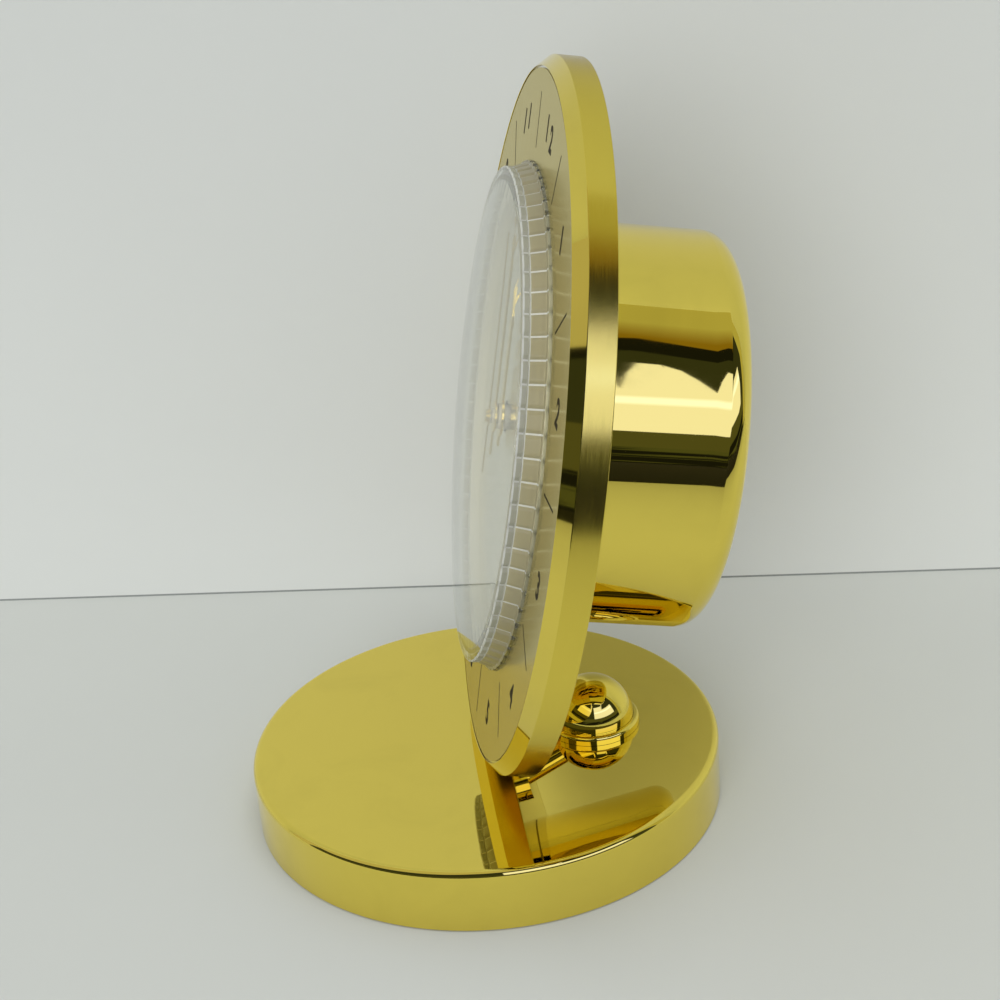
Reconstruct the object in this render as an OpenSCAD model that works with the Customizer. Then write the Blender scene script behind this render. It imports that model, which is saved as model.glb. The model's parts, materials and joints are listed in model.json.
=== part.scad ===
// Round desk clock: a polished disc head on a ball joint above a round base.
// Millimetres. The origin is the middle of the underside, on the surface that the clock stands on.
// The dial faces -Y and +Z is up. Head pieces are drawn in the head's own frame, whose Z runs
// forward along the dial axis, whose Y runs up the dial and whose zero is the back of the disc.

/* [Base] */
// Radius of the round base
base_r = 49.5; // [46:0.5:56]
// Height of the polished top above the table
base_h = 13.5; // [13:0.5:18]
// Radius of the rounded top edge
base_edge_r = 1.4; // [0.6:0.2:2.4]
// Wall thickness of the base shell
shell_t = 1.5; // [1:0.1:2]
// Thickness of the felt pad
pad_t = 1; // [0.8:0.1:1.4]

/* [Ball joint] */
// Radius of the polished ball
ball_r = 8.8; // [8.4:0.1:9]
// Distance of the ball behind the middle of the base
ball_y = 23.3; // [20:0.1:26]
// Height of the ball's middle above the base top
ball_rise = 1.9; // [1.9:0.1:2.4]
// Height of the collar that the ball sits in
collar_h = 1.9; // [1.5:0.1:1.9]
// Distance from the ball's middle to the back of the disc
arm_reach = 18.7; // [18.5:0.1:22]
// Distance from the ball's middle up to the dial axis
arm_drop = 66.2; // [66:0.1:67]
// Angle by which the arm rises from the dial axis on its way to the disc
arm_rise = 17; // [16:0.5:20]
// Angle by which the head leans back at rest
lean = 11; // [8:0.5:14]
// Angle that the slot lets the head lean further back
lean_more = 15; // [5:1:15]
// Angle that the slot lets the head come forward
lean_less = 3; // [1:1:3]

/* [Disc] */
// Outer radius of the disc
disc_r = 70; // [69:0.5:72]
// Width of the satin band round the disc
band_w = 5; // [4.5:0.1:6]
// Depth of the polished bevel in front of the band
bevel_d = 2.4; // [2:0.1:3]
// Width of the bevel seen from the front
bevel_w = 2.3; // [2:0.1:3]
// Thickness of the dial plate
dial_t = 0.8; // [0.6:0.1:1]

/* [Crystal] */
// Radius of the crystal's foot on the dial
crystal_r = 50; // [48:0.5:52]
// Height of the fluted rim above the dial
rim_h = 5.3; // [5:0.1:6]
// Rise of the dome above the rim
dome_h = 3.2; // [2.5:0.1:5]
// Number of flutes round the rim
flutes = 72; // [36:1:90]

/* [Rear cup] */
// Outer radius of the rear cup
cup_r = 39.5; // [39:0.5:42]
// Depth of the rear cup
cup_d = 32; // [26:1:40]
// Radius of its rounded back edge
cup_edge_r = 4.5; // [2:0.5:6]

/* [Movement] */
// Width and height of the movement case
case_w = 55; // [55:0.1:55.3]
// Depth of the movement case
case_d = 15.5; // [15.5:0.5:17]

/* [Hands] */
// Length of the hour hand
hour_len = 28; // [20:1:32]
// Length of the minute hand
minute_len = 40; // [30:1:41]
// Length of the second hand
second_len = 37; // [28:1:40]

/* [Hidden] */
$fn = 96;

run = 0.05;      // running clearance between a shaft and its hole, or a slide and its guide
seat = 0.05;     // clearance under a piece that slides or turns on a face
eps = 0.5;       // overshoot of a cutter past the face that it cuts

brass = "#c9a53c";
steel = "#9a9da1";
black = "#1d1d1f";

// Ball joint and head frame
ball_z = base_h + ball_rise;
ball_pos = [0, ball_y, ball_z];
head_pos = ball_pos + [0, sin(lean) * arm_drop - cos(lean) * arm_reach,
    cos(lean) * arm_drop + sin(lean) * arm_reach];
stud_r = 1.75;
stud_head_r = 3.6;
slot_play = 1.5;
ball_bore_r = stud_head_r + 0.2;
collar_r = ball_r + 1.2;
collar_edge_r = 0.8;
collar_spigot_r = ball_r + 0.5;
nut_h = 2.6;
washer_r = 6;
washer_h = 1.1;
washer_slope = 2.6;
spring_top = base_h - 7;
nut_top = spring_top - 2 * washer_h - 2 * seat;
ball_cut = 4.5;
ball_cut_r = sqrt(pow(ball_r, 2) - pow(ball_cut, 2));
well_floor = ball_z - ball_cut * cos(lean_more) - ball_cut_r * sin(lean_more) - 0.4;
arm_r = 3.4;
plug_end = sqrt(pow(ball_r, 2) - pow(ball_bore_r, 2)) - 0.1;
arm_flange_r = 6;
arm_screw_r = 2;
arm_screw_in = 4;
arm_foot = arm_reach * tan(arm_rise) - arm_drop;

// Disc, from back to front
plate_t = 1.2;
dial_sink = 0.5;
face_r = disc_r - bevel_w;
dial_z = band_w + bevel_d - dial_sink;
spacer_w = 1.6;
number_ring_r = face_r - 0.4;
number_ring_t = 0.3;

// Crystal and its retainer
crystal_wall = 1.8;
foot_h = 1.1;
rim_r = crystal_r - 1.8;
bead_h = 1.5;
rim_top = dial_z + rim_h;
dome_r = (rim_r * rim_r + dome_h * dome_h) / (2 * dome_h);
dome_steps = 12;
clear_r = crystal_r - 3.4;
flange_r = clear_r - 2;
flange_t = 1;
retainer_r = flange_r - 0.3;
retainer_in = retainer_r - 1.7;
rivet_r = 0.5;

// Rear cup and the ring that it slides on
cup_t = 0.85;
cup_ring_r = cup_r - cup_t - run;
cup_ring_t = 1;
cup_ring_h = 6;
cup_screw_r = 1.25;
cup_screw_at = 33.5;

// Movement case, from its front face back
case_front = -0.5;
case_t = 1.2;
case_corner = 4.2;
case_back = case_front - case_d;
bay_wall_y = -9.4;
bay_top_y = bay_wall_y - case_t;
battery_r = 7.1;
battery_y = bay_top_y - battery_r - 0.5;
battery_z = case_front - case_t - battery_r;
battery_len = 49.9;
battery_x = -battery_len / 2 - 0.05;
nub_r = 2.7;
nub_h = 1;
bushing_r = 4;
nut_t = 2.2;

// Wheel work: modules, teeth and layers
m_motion = 0.5;
m_centre = 0.27;
m_seconds = 0.3;
m_drive = 0.25;
pinion_teeth = 8;
cannon_teeth = 10;
minute_teeth = 30;
hour_teeth = 32;
third_teeth = 60;
centre_teeth = 64;
seconds_teeth = 48;
drive_teeth = 40;
m_third = m_centre * (pinion_teeth + centre_teeth) / (pinion_teeth + third_teeth);
wheel_t = 0.8;
arbor_r = 0.5;
minute_arbor_r = 0.6;
second_arbor_r = 0.5;
minute_pipe_r = 1.5;
hour_pipe_r = 2.5;

hour_z = -3.1;
minute_wheel_z = -4.4;
centre_z = -6;
third_z = -7.8;
bridge_z = -9.2;
bridge_t = 0.7;
seconds_z = -10.4;
drive_z = -12;
magnet_z = -13.9;
magnet_r = 3;

// Directions of the arbors from the middle of the movement, and of the rotor from the drive arbor
minute_dir = 135;
third_dir = 35;
drive_dir = 90;
rotor_dir = 60;
minute_at = polar((cannon_teeth + minute_teeth) * m_motion / 2, minute_dir);
third_at = polar((pinion_teeth + centre_teeth) * m_centre / 2, third_dir);
drive_at = polar((pinion_teeth + seconds_teeth) * m_seconds / 2, drive_dir);
rotor_at = drive_at + polar((pinion_teeth + drive_teeth) * m_drive / 2, rotor_dir);

// Motor: the stator's core runs through the coil, whose cheeks stand on the cover
stator_t = 0.8;
stator_z = -13.3;
stator_w = 16;
stator_h = 8.4;
stator_arm = 3;
peg_at = [6.5, 2.8];
peg_r = 0.6;
coil_len = 18;
coil_x = rotor_at[0] - 11;
coil_y = rotor_at[1] + 7;
coil_z = stator_z + stator_t / 2;
cheek_r = coil_z - case_back - case_t;
core_w = 2;

// Circuit board and the quartz in its can
board_at = [14, 0];
board_size = [11.5, 20];
board_t = 0.8;
can_r = 1;
can_len = 6;

// Hands
hour_hand_z = dial_z + 0.8;
minute_hand_z = hour_hand_z + 1.2;
second_hand_z = minute_hand_z + 1.1;
hand_t = 0.4;

// A point at distance r in direction a
function polar(r, a) = [r * cos(a), r * sin(a)];

// Height of the dome at radius r, before its wall is taken off
function dome_z(r) = rim_top + dome_h - dome_r + sqrt(dome_r * dome_r - r * r);

// Turn that brings gear 2, in direction a from gear 1, into mesh with gear 1 at its own turn
function mesh_turn(n1, turn1, n2, a) = a + 180 + 180 / n2 - (turn1 - a) * n1 / n2;

// Outline of a gear with n teeth, its first tooth along +X
function gear_points(n, m) = [
    for (i = [0 : n - 1])
        for (p = [[-0.27, -1.15], [-0.13, 0.75], [0.13, 0.75], [0.27, -1.15]])
            polar(m * (n / 2 + p[1]), (i + p[0]) * 360 / n)];

// Places children in the head's frame
module on_head() {
    translate(head_pos) rotate([90 - lean, 0, 0]) children();
}

// A round solid from z0 to z1
module disc(r, z0, z1) {
    translate([0, 0, z0]) cylinder(r = r, h = z1 - z0);
}

// A round solid with a bore
module ring(r, bore, z0, z1) {
    difference() {
        disc(r, z0, z1);
        disc(bore, z0 - eps, z1 + eps);
    }
}

// A gear from z0 to z1, turned so that its first tooth points in direction turn
module gear(n, m, z0, z1, turn) {
    translate([0, 0, z0]) rotate([0, 0, turn])
        linear_extrude(height = z1 - z0) polygon(gear_points(n, m));
}

// A square with round corners
module rounded_square(w, r) {
    square([w, w - 2 * r], center = true);
    square([w - 2 * r, w], center = true);
    for (x = [-1, 1], y = [-1, 1]) translate([x, y] * (w / 2 - r)) circle(r);
}

// The movement case's inside between two heights
module case_inside(low, high) {
    intersection() {
        rounded_square(case_w - 2 * case_t, case_corner - case_t);
        translate([-case_w, low]) square([2 * case_w, high - low]);
    }
}

// The wheel compartment's outline, above the battery bay
module compartment_outline() {
    case_inside(bay_wall_y, case_w);
}

// BASE

// The turned brass shell: a polished cap, open underneath, with a hole for the ball joint
module base_shell() {
    color(brass) difference() {
        rotate_extrude() difference() {
            union() {
                translate([0, pad_t / 2]) square([base_r - base_edge_r, base_h - pad_t / 2]);
                translate([0, pad_t / 2]) square([base_r, base_h - base_edge_r - pad_t / 2]);
                translate([base_r - base_edge_r, base_h - base_edge_r]) circle(base_edge_r);
            }
            translate([-eps, -eps]) square([base_r - shell_t + eps, base_h - shell_t + eps]);
        }
        translate([0, ball_y, 0]) disc(collar_spigot_r, base_h - shell_t - eps, base_h + eps);
    }
}

// The steel weight that fills the shell, with the well for the ball joint and its spring
module base_weight() {
    color(steel) difference() {
        disc(base_r - shell_t, pad_t, base_h - shell_t);
        translate([0, ball_y, 0]) {
            disc(collar_spigot_r, well_floor, base_h);
            disc(stud_r + 0.3, 0, base_h);
            disc(washer_r + 0.6, 0, spring_top);
        }
    }
}

// The felt pad under the weight
module base_pad() {
    color("#2c3a33") disc(base_r - shell_t - 0.4, 0, pad_t);
}

// BALL JOINT

// The low collar: it turns on the base with the head, and the ball leans in its round seat
module swivel_collar() {
    color(brass) translate([0, ball_y, 0]) difference() {
        rotate_extrude() {
            translate([0, base_h + seat]) square([collar_r, collar_h - seat - collar_edge_r]);
            translate([0, base_h + seat]) square([collar_r - collar_edge_r, collar_h - seat]);
            translate([collar_r - collar_edge_r, base_h + collar_h - collar_edge_r])
                circle(collar_edge_r);
            translate([0, base_h - shell_t]) square([collar_spigot_r - run, shell_t + 1]);
        }
        translate([0, 0, ball_z]) sphere(ball_r + run);
    }
}

// The stud whose round head sits in the hollow ball and pulls it down
module pull_stud() {
    color(steel) translate([0, ball_y, 0]) {
        translate([0, 0, ball_z]) sphere(stud_head_r);
        disc(stud_r, nut_top - nut_h, ball_z);
    }
}

// A dished washer that stands on its wide edge
module dished_washer() {
    difference() {
        cylinder(r1 = washer_r, r2 = washer_r - washer_slope, h = washer_h);
        translate([0, 0, -0.5]) cylinder(r1 = washer_r, r2 = washer_r - washer_slope, h = washer_h);
        disc(stud_r, -eps, 2 * washer_h);
    }
}

// Two dished washers, cupped against each other, that keep the ball clamped
module spring_washers() {
    color(steel) translate([0, ball_y, nut_top]) {
        translate([0, 0, washer_h]) mirror([0, 0, 1]) dished_washer();
        translate([0, 0, washer_h + seat]) dished_washer();
    }
}

// The hexagon nut under the spring washers
module stud_nut() {
    color(steel) translate([0, ball_y, nut_top - nut_h]) difference() {
        cylinder(r = 4, h = nut_h, $fn = 6);
        disc(stud_r, -eps, nut_h + eps);
    }
}

// The polished ball: hollow for the stud's head, bored for the arm, and below cut flat and slotted
module swivel_ball() {
    color(brass) on_head() translate([0, -arm_drop, -arm_reach]) difference() {
        sphere(ball_r);
        sphere(stud_head_r + run);
        rotate([-arm_rise, 0, 0]) disc(ball_bore_r, 0, ball_r);
        rotate([lean - 90, 0, 0]) {
            stud_slot();
            translate([-ball_r, -ball_r, -2 * ball_r - ball_cut]) cube(2 * ball_r);
        }
    }
}

// The space that the stud's shank sweeps in the ball as it tilts, from straight down at rest
module stud_slot() {
    w = stud_r + 0.1;
    reach = ball_r + 1;
    back = lean_more + slot_play;
    front = -lean_less - slot_play;
    rotate([0, 90, 0]) translate([0, 0, -w]) linear_extrude(height = 2 * w)
        polygon([polar(w, back + 90), polar(w, back + 90) + polar(reach, back),
            polar(reach + w, (back + front) / 2),
            polar(w, front - 90) + polar(reach, front), polar(w, front - 90)]);
}

// The arm from the ball to the back of the disc, with a plug in the ball and a flange on the plate
module support_arm() {
    color(brass) on_head() difference() {
        union() {
            translate([0, -arm_drop, -arm_reach]) rotate([-arm_rise, 0, 0]) {
                disc(ball_bore_r, stud_head_r + 0.6, plug_end);
                disc(arm_r, stud_head_r + 0.6, arm_reach / cos(arm_rise));
            }
            translate([0, arm_foot, 0]) disc(arm_flange_r, -2.4, 0);
        }
        translate([0, arm_foot, 0]) {
            disc(2 * arm_flange_r, 0, arm_flange_r);
            disc(arm_screw_r, -arm_screw_in - 0.5, eps);
        }
    }
}

// The screw that holds the arm from the front, hidden under the dial
module arm_screw() {
    color(steel) on_head() translate([0, arm_foot, 0]) difference() {
        union() {
            disc(arm_screw_r, -arm_screw_in, plate_t);
            disc(3.4, plate_t, plate_t + 2);
        }
        translate([-4, -0.5, plate_t + 1]) cube([8, 1, 2]);
    }
}

// DISC

// The round back plate that carries the movement, the cup ring and the arm
module back_plate() {
    color(brass) on_head() difference() {
        disc(face_r, 0, plate_t);
        disc(bushing_r + 0.1, -eps, 2 * plate_t);
        translate([0, arm_foot, 0]) disc(arm_screw_r, -eps, 2 * plate_t);
        for (a = [0 : 90 : 270]) rotate([0, 0, a]) translate([cup_screw_at, 0, 0])
            disc(cup_screw_r, -eps, 2 * plate_t);
    }
}

// The turned outer ring: a satin band and a polished bevel round the dial
module bezel_ring() {
    front = band_w + bevel_d;
    color(brass) on_head() rotate_extrude($fn = 180)
        polygon([[face_r, 0], [disc_r - 0.2, 0], [disc_r, 0.2], [disc_r, band_w],
            [face_r + 0.1, front], [face_r, front]]);
}

// The ring between the back plate and the dial plate, on which the dial is bonded
module dial_spacer() {
    color(black) on_head() ring(face_r, face_r - spacer_w, plate_t, dial_z - dial_t);
}

// The dial plate behind the hands
module dial_plate() {
    color("#cfc49a") on_head() difference() {
        disc(face_r, dial_z - dial_t, dial_z);
        disc(hour_pipe_r + 0.7, 0, 2 * dial_z);
        for (a = [45 : 90 : 315]) rotate([0, 0, a]) translate([retainer_r - 0.85, 0, 0])
            disc(rivet_r, 0, 2 * dial_z);
    }
}

// The ring on the dial whose lip holds the crystal's flange down while it turns
module crystal_retainer() {
    top = dial_z + seat + flange_t + 0.2;
    color(brass) on_head() difference() {
        union() {
            ring(retainer_r, retainer_in, dial_z, top);
            ring(clear_r - 0.6, retainer_in, top, top + 0.7);
        }
        for (a = [45 : 90 : 315]) rotate([0, 0, a]) translate([retainer_r - 0.85, 0, 0])
            disc(rivet_r, 0, 2 * dial_z);
    }
}

// Four rivets that fasten the retainer to the dial plate
module retainer_rivets() {
    top = dial_z + seat + flange_t + 0.9;
    color(steel) on_head() for (a = [45 : 90 : 315]) rotate([0, 0, a])
        translate([retainer_r - 0.85, 0, 0]) {
            disc(rivet_r, dial_z - dial_t, top);
            disc(0.8, dial_z - dial_t - 0.4, dial_z - dial_t);
            disc(0.8, top, top + 0.25);
        }
}

// CRYSTAL

// Cross-section of the crystal: foot, sloping rim, bead band, dome and inner flange
module crystal_section() {
    z0 = dial_z + seat;
    neck = rim_top - bead_h;
    outer = [for (i = [0 : dome_steps]) let (r = rim_r * (1 - i / dome_steps)) [r, dome_z(r)]];
    inner = [for (i = [0 : dome_steps]) let (r = (clear_r - 1) * i / dome_steps)
        [r, dome_z(r) - crystal_wall]];
    polygon(concat(
        [[crystal_r, z0], [crystal_r, z0 + foot_h - 0.2], [crystal_r - 0.4, z0 + foot_h],
            [crystal_r - 0.7, z0 + foot_h], [rim_r + 0.3, neck], [rim_r, neck + 0.15],
            [rim_r + 0.3, neck + 0.3], [rim_r + 0.2, rim_top - 0.2]],
        outer, inner,
        [[clear_r, dome_z(clear_r) - crystal_wall - 0.9], [clear_r, z0 + flange_t],
            [flange_r, z0 + flange_t], [flange_r, z0]]));
}

// The clear turning crystal: a domed window whose rim is fluted for the fingers
module crystal() {
    low = [crystal_r - 0.7, dial_z + seat + foot_h];
    high = [rim_r + 0.3, rim_top - bead_h];
    slope = atan2(low[0] - high[0], high[1] - low[1]);
    color("#dfe6e4", 0.45) on_head() difference() {
        rotate_extrude($fn = 180) crystal_section();
        for (i = [0 : flutes - 1]) rotate([0, 0, i * 360 / flutes]) {
            translate([low[0] + 0.1, 0, low[1] + 0.15]) rotate([0, -slope, 0])
                cylinder(r = 0.45, h = (high[1] - low[1]) / cos(slope) - 0.1, $fn = 16);
            translate([rim_r + 0.35, 0, high[1] + 0.3]) cylinder(r = 0.4, h = bead_h, $fn = 16);
        }
    }
}

// The thin ring of hour numbers, bonded round the crystal's foot, which turns with it over the dial
module number_ring() {
    color("#cfc49a") on_head()
        ring(number_ring_r, crystal_r, dial_z + seat, dial_z + seat + number_ring_t);
}

// REAR CUP

// The ring behind the plate that the cup slides on, with four screwed feet
module cup_ring() {
    color(brass) on_head() difference() {
        union() {
            ring(cup_ring_r, cup_ring_r - cup_ring_t, -cup_ring_h, 0);
            for (a = [0 : 90 : 270]) rotate([0, 0, a])
                translate([30, -4, -1.2]) cube([cup_ring_r - 30.5, 8, 1.2]);
        }
        for (a = [0 : 90 : 270]) rotate([0, 0, a]) translate([cup_screw_at, 0, 0])
            disc(cup_screw_r, -cup_ring_h, eps);
    }
}

// The four screws that hold the cup ring
module cup_ring_screws() {
    color(steel) on_head() for (a = [0 : 90 : 270]) rotate([0, 0, a])
        translate([cup_screw_at, 0, 0]) difference() {
            union() {
                disc(cup_screw_r, -1.2, plate_t);
                disc(2.2, -2.7, -1.2);
            }
            translate([-3, -0.3, -3.4]) cube([6, 0.6, 1.4]);
        }
}

// The drawn cup that covers the movement, with its rounded back edge
module rear_cup() {
    r = cup_edge_r;
    color(brass) on_head() rotate_extrude($fn = 180) difference() {
        rounded_half(cup_r, -cup_d, -seat, r);
        rounded_half(cup_r - cup_t, -cup_d + cup_t, eps, r - cup_t);
    }
}

// Half of a round cup's section from its closed end z0 to its open end z1
module rounded_half(w, z0, z1, r) {
    translate([0, z0 + r]) square([w, z1 - z0 - r]);
    translate([0, z0]) square([w - r, r + 0.01]);
    intersection() {
        translate([w - r, z0 + r]) circle(r);
        translate([0, z0]) square([w, r]);
    }
}

// MOVEMENT

// The moulded case: a wheel compartment above, an open battery bay below, and the threaded bushing
module movement_case() {
    color(black) on_head() difference() {
        union() {
            translate([0, 0, case_back]) linear_extrude(height = case_d)
                rounded_square(case_w, case_corner);
            disc(bushing_r, case_front - case_t, plate_t + 4);
        }
        translate([0, 0, case_back - eps]) linear_extrude(height = case_d - case_t + eps) {
            compartment_outline();
            case_inside(-case_w, bay_top_y);
        }
        disc(hour_pipe_r + run, -2 * case_d, 2 * case_d);
        translate(third_at) disc(arbor_r + run, case_back, case_front - 0.6);
        translate(minute_at) disc(minute_arbor_r + run, case_back, case_front - 0.6);
    }
}

// Places children at the two pegs on which the stator is held
module at_pegs() {
    for (side = [-1, 1]) translate(rotor_at + [side * peg_at[0], peg_at[1]]) children();
}

// The cover that closes the wheel compartment, with the arbors' rear bearings and the stator's pegs
module movement_cover() {
    color(black) on_head() difference() {
        union() {
            translate([0, 0, case_back]) linear_extrude(height = case_t) compartment_outline();
            at_pegs() {
                disc(2 * peg_r, case_back + case_t, stator_z);
                disc(peg_r, case_back + case_t, stator_z + stator_t + 0.4);
            }
        }
        disc(second_arbor_r + run, case_back + 0.4, case_front);
        translate(minute_at) disc(minute_arbor_r + run, case_back - eps, case_front);
        translate(drive_at) disc(arbor_r + run, case_back + 0.4, case_front);
        translate(rotor_at) disc(arbor_r + run, case_back + 0.4, case_front);
    }
}

// The plate between the two halves of the wheel train
module train_bridge() {
    color("#d8d5cc") on_head() difference() {
        translate([0, 0, bridge_z]) linear_extrude(height = bridge_t) compartment_outline();
        disc(second_arbor_r + run, bridge_z - eps, 0);
        for (p = [third_at, drive_at, rotor_at]) translate(p)
            disc(arbor_r + run, bridge_z - eps, 0);
        translate(minute_at) disc(minute_arbor_r + run, bridge_z - eps, 0);
    }
}

// The rubber washer between the case and the back plate
module shaft_washer() {
    color(black) on_head() ring(9, bushing_r, case_front, 0);
}

// The hexagon nut that clamps the movement to the back plate
module shaft_nut() {
    color(brass) on_head() difference() {
        translate([0, 0, plate_t]) cylinder(r = 6.4, h = nut_t, $fn = 6);
        disc(bushing_r, 0, 2 * nut_t + plate_t);
    }
}

// The circuit board beside the motor, with its sealed chip
module circuit_board() {
    color("#2f5d3a") on_head() translate([board_at[0], board_at[1], case_back + case_t]) {
        cube([board_size[0], board_size[1], board_t]);
        translate([board_size[0] / 2, board_size[1] / 3, 0]) disc(2.6, board_t, board_t + 0.8);
    }
}

// The quartz in its small tin can, lying on the board
module quartz_can() {
    color(steel) on_head() translate([board_at[0] + (board_size[0] - can_len) / 2,
        board_at[1] + 0.8 * board_size[1], case_back + case_t + board_t + can_r])
        rotate([0, 90, 0]) disc(can_r, 0, can_len);
}

// The coil of the stepping motor, wound between two cheeks round the stator's core
module motor_coil() {
    color("#a5562a") on_head() translate([coil_x, coil_y, coil_z]) difference() {
        rotate([0, 90, 0]) {
            disc(cheek_r - 0.3, 0, coil_len);
            for (x = [0, coil_len - 1]) disc(cheek_r, x, x + 1);
        }
        translate([-eps, -core_w / 2, -stator_t / 2]) cube([coil_len + 2 * eps, core_w, stator_t]);
    }
}

// The stator: a plate round the rotor's magnet and two arms joined by the core
module motor_stator() {
    arm_top = coil_y + core_w / 2;
    color(steel) on_head() difference() {
        translate([0, 0, stator_z]) linear_extrude(height = stator_t) {
            translate(rotor_at - [stator_w, stator_h] / 2) square([stator_w, stator_h]);
            for (x = [coil_x - stator_arm, coil_x + coil_len])
                translate([x, rotor_at[1]]) square([stator_arm, arm_top - rotor_at[1]]);
            translate([coil_x - stator_arm, rotor_at[1]])
                square([coil_len + 2 * stator_arm, stator_h / 2]);
            translate([coil_x - stator_arm, coil_y - core_w / 2])
                square([coil_len + 2 * stator_arm, core_w]);
        }
        translate(rotor_at) disc(magnet_r + 0.4, stator_z - eps, 0);
        at_pegs() disc(peg_r, stator_z - eps, 0);
    }
}

// The AA cell, lying across the bottom of the case
module battery() {
    color("#3c4044") on_head() translate([battery_x, battery_y, battery_z])
        rotate([0, 90, 0]) {
            disc(battery_r, 0, battery_len);
            disc(nub_r, battery_len, battery_len + nub_h);
        }
}

// The flat contact at the cell's button end
module contact_plus() {
    x = battery_x + battery_len + nub_h;
    color(steel) on_head() translate([x, battery_y - 4, battery_z - 4])
        cube([case_w / 2 - case_t - x, 8, 8]);
}

// The sprung contact at the cell's flat end, drawn as a stepped cone
module contact_minus() {
    wall = -case_w / 2 + case_t;
    gap = battery_x - wall;
    color(steel) on_head() translate([wall, battery_y, battery_z]) rotate([0, 90, 0]) {
        disc(4.5, 0, 0.4);
        disc(3, 0.4, gap / 2 + 0.2);
        disc(2, gap / 2 + 0.2, gap);
    }
}

// HANDS AND WHEELS

// A hand that points to twelve: round boss, tapering blade and short tail
module hand(len, tail, w, boss_r, bore, z, t) {
    translate([0, 0, z]) difference() {
        union() {
            cylinder(r = boss_r, h = t);
            linear_extrude(height = t) polygon([[-w / 2, 0], [-w / 3, -tail], [w / 3, -tail],
                [w / 2, 0], [w / 2, len * 0.75], [0, len], [-w / 2, len * 0.75]]);
        }
        disc(bore, -eps, 2 * t);
    }
}

// The hour hand
module hour_hand() {
    color(black) on_head() hand(hour_len, 6, 2.6, 4, hour_pipe_r, hour_hand_z, hand_t);
}

// The hour wheel with its pipe
module hour_wheel() {
    turn = mesh_turn(pinion_teeth, minute_dir + 180, hour_teeth, minute_dir + 180);
    color("#e6e2d6") on_head() difference() {
        union() {
            gear(hour_teeth, m_motion, hour_z, hour_z + 1, turn);
            disc(hour_pipe_r, hour_z, hour_hand_z + hand_t + 0.4);
        }
        disc(minute_pipe_r + run, hour_z - eps, 2 * minute_hand_z);
    }
}

// The minute hand
module minute_hand() {
    color(black) on_head() hand(minute_len, 8, 1.8, 3.2, minute_pipe_r, minute_hand_z, hand_t);
}

// The cannon pinion with its pipe, which carries the minute hand and two collars for the centre wheel
module cannon_pinion() {
    color("#e6e2d6") on_head() difference() {
        union() {
            gear(cannon_teeth, m_motion, minute_wheel_z - 0.2, minute_wheel_z + wheel_t + 0.1,
                minute_dir);
            disc(minute_pipe_r, centre_z - 0.4, minute_hand_z + hand_t + 0.3);
            disc(minute_pipe_r + 0.5, centre_z - 0.4, centre_z - seat);
            disc(minute_pipe_r + 0.5, centre_z + wheel_t + seat, minute_wheel_z - 0.2);
        }
        disc(second_arbor_r + run, centre_z - 2, 2 * minute_hand_z);
    }
}

// The minute wheel with its pinion, between the cannon pinion and the hour wheel
module minute_wheel() {
    turn = mesh_turn(cannon_teeth, minute_dir, minute_teeth, minute_dir);
    color("#e6e2d6") on_head() translate(minute_at) {
        gear(minute_teeth, m_motion, minute_wheel_z, minute_wheel_z + wheel_t, turn);
        gear(pinion_teeth, m_motion, minute_wheel_z + wheel_t / 2, hour_z + 1.15, minute_dir + 180);
        disc(minute_arbor_r, case_back - 0.6, case_front - 0.7);
    }
}

// The knob for setting the hands, on the minute wheel's arbor behind the cover
module setting_knob() {
    grips = 24;
    color(black) on_head() translate(minute_at) difference() {
        disc(6, case_back - 4, case_back - 0.4);
        disc(minute_arbor_r, case_back - 0.6, case_front);
        for (i = [0 : grips - 1]) rotate([0, 0, i * 360 / grips]) translate([6.2, 0, 0])
            disc(0.5, case_back - 5, case_back);
    }
}

// The second hand
module second_hand() {
    color("#8c1f1c") on_head() difference() {
        union() {
            hand(second_len, 12, 0.7, 2, 0.1, second_hand_z, 0.3);
            disc(1.3, second_hand_z, second_hand_z + 0.8);
        }
        disc(second_arbor_r, second_hand_z - eps, second_hand_z + 0.4);
    }
}

// The seconds wheel with its pinion, on the long arbor that carries the second hand
module seconds_wheel() {
    turn = mesh_turn(pinion_teeth, drive_dir + 180, seconds_teeth, drive_dir + 180);
    color("#e6e2d6") on_head() {
        gear(seconds_teeth, m_seconds, seconds_z, seconds_z + wheel_t, turn);
        gear(pinion_teeth, m_third, third_z - 0.3, third_z + wheel_t + 0.2, third_dir);
        disc(second_arbor_r, case_back + 0.5, second_hand_z + 0.4);
    }
}

// The centre wheel, which grips the cannon pinion's pipe lightly and slips when the hands are set
module centre_wheel() {
    turn = mesh_turn(pinion_teeth, third_dir + 180, centre_teeth, third_dir + 180);
    color("#e6e2d6") on_head() difference() {
        gear(centre_teeth, m_centre, centre_z, centre_z + wheel_t, turn);
        disc(minute_pipe_r + run, centre_z - eps, 0);
    }
}

// The third wheel with its pinion
module third_wheel() {
    turn = mesh_turn(pinion_teeth, third_dir, third_teeth, third_dir);
    color("#e6e2d6") on_head() translate(third_at) {
        gear(third_teeth, m_third, third_z, third_z + wheel_t, turn);
        gear(pinion_teeth, m_centre, third_z + wheel_t / 2, centre_z + wheel_t + 0.2, third_dir + 180);
        disc(arbor_r, bridge_z, case_front - 0.7);
    }
}

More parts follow.
